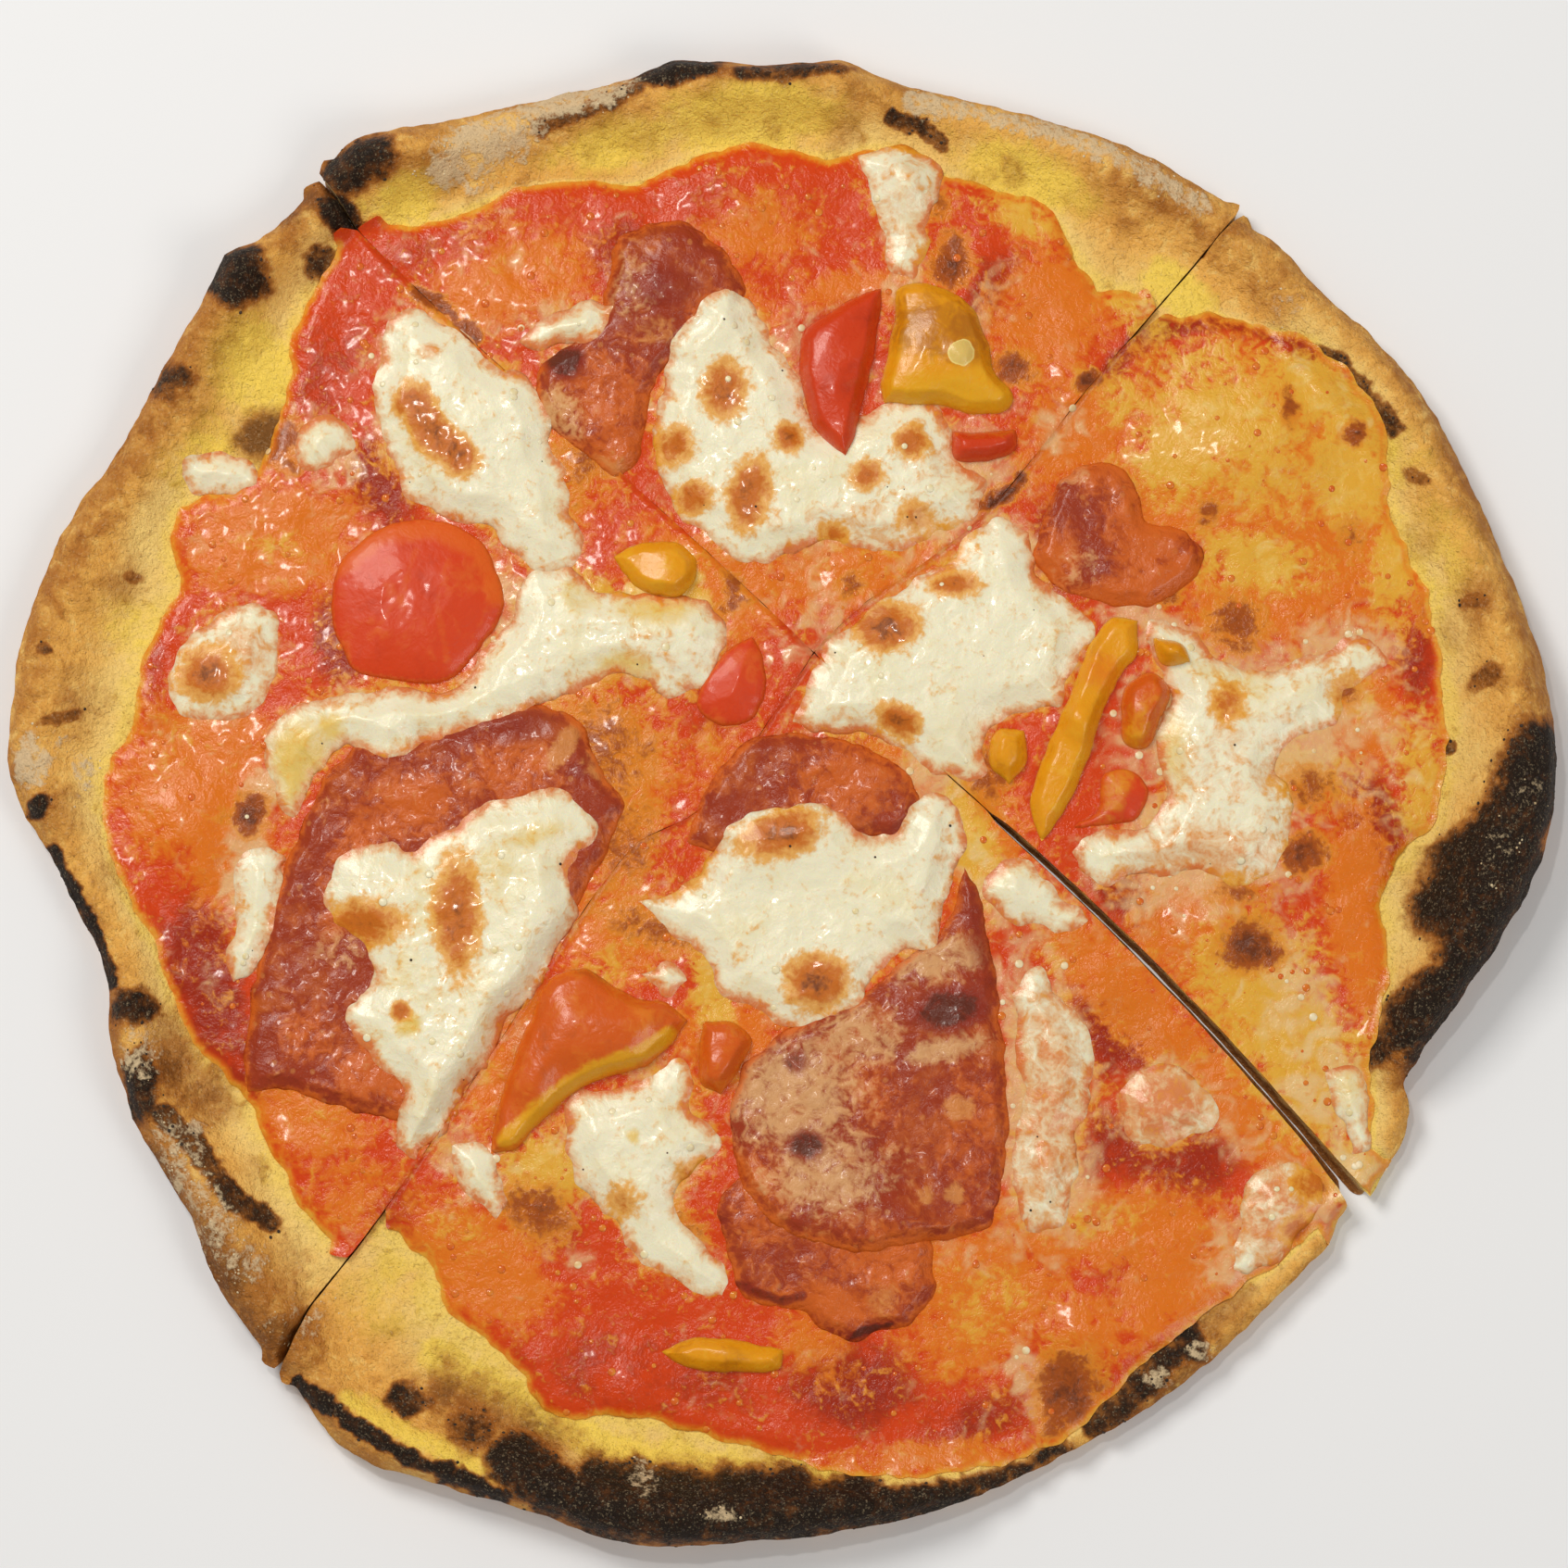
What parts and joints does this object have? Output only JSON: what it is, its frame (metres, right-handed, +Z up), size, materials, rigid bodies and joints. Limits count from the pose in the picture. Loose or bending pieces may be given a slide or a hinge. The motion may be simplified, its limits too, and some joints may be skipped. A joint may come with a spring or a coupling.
{
  "type": "diavola pizza",
  "caption": "Round flat wood-fired pizza cut in four, with a puffed blistered rim, tomato sauce, salami, melted mozzarella and peppers.",
  "frame": {"origin": "middle of the pizza's box on the plan, at the underside of the crust", "axes": "+Z up out of the toppings, +X to the right and +Y away, as the pizza is seen from above in the picture"},
  "size_m": [0.2788, 0.2692, 0.0199],
  "materials": {
    "crust": "baked dough, floury and charred in patches",
    "sauce": "wet, oily",
    "salami": "oily, marbled",
    "cheese": "melted, soft sheen",
    "tomato": "wet",
    "pepper_red": "wet skin",
    "pepper_orange": "wet skin",
    "pepper_yellow": "wet skin"
  },
  "bodies": {
    "root": {"cheese_bottom_left": "cheese", "cheese_bottom_patch": "cheese", "cheese_centre_low": "cheese", "cheese_centre_right": "cheese", "cheese_edge_patch": "cheese", "cheese_left_band": "cheese", "cheese_left_bubble": "cheese", "cheese_left_ring": "cheese", "cheese_left_small": "cheese", "cheese_left_tongue": "cheese", "cheese_lower_centre": "cheese", "cheese_lower_left": "cheese", "cheese_lower_right": "cheese", "cheese_right": "cheese", "cheese_right_tip": "cheese", "cheese_small_centre": "cheese", "cheese_small_low": "cheese", "cheese_top_centre": "cheese", "cheese_top_right": "cheese", "cheese_upper_left": "cheese", "cheese_upper_strip": "cheese", "crust_bottom": "crust", "crust_left": "crust", "crust_right": "crust", "crust_top": "crust", "pepper_orange_low": "pepper_orange", "pepper_orange_right": "pepper_orange", "pepper_orange_small": "pepper_orange", "pepper_red_small": "pepper_red", "pepper_red_top": "pepper_red", "pepper_yellow_bottom": "pepper_yellow", "pepper_yellow_centre": "pepper_yellow", "pepper_yellow_long": "pepper_yellow", "pepper_yellow_middle": "pepper_yellow", "pepper_yellow_right": "pepper_yellow", "pepper_yellow_top": "pepper_yellow", "salami_bottom_over": "salami", "salami_bottom_under": "salami", "salami_centre": "salami", "salami_left": "salami", "salami_right": "salami", "salami_top": "salami", "sauce_bottom": "sauce", "sauce_left": "sauce", "sauce_right": "sauce", "sauce_top": "sauce", "tomato_piece_right": "tomato", "tomato_slice": "tomato", "tomato_wedge": "tomato"}
  },
  "joints": []
}
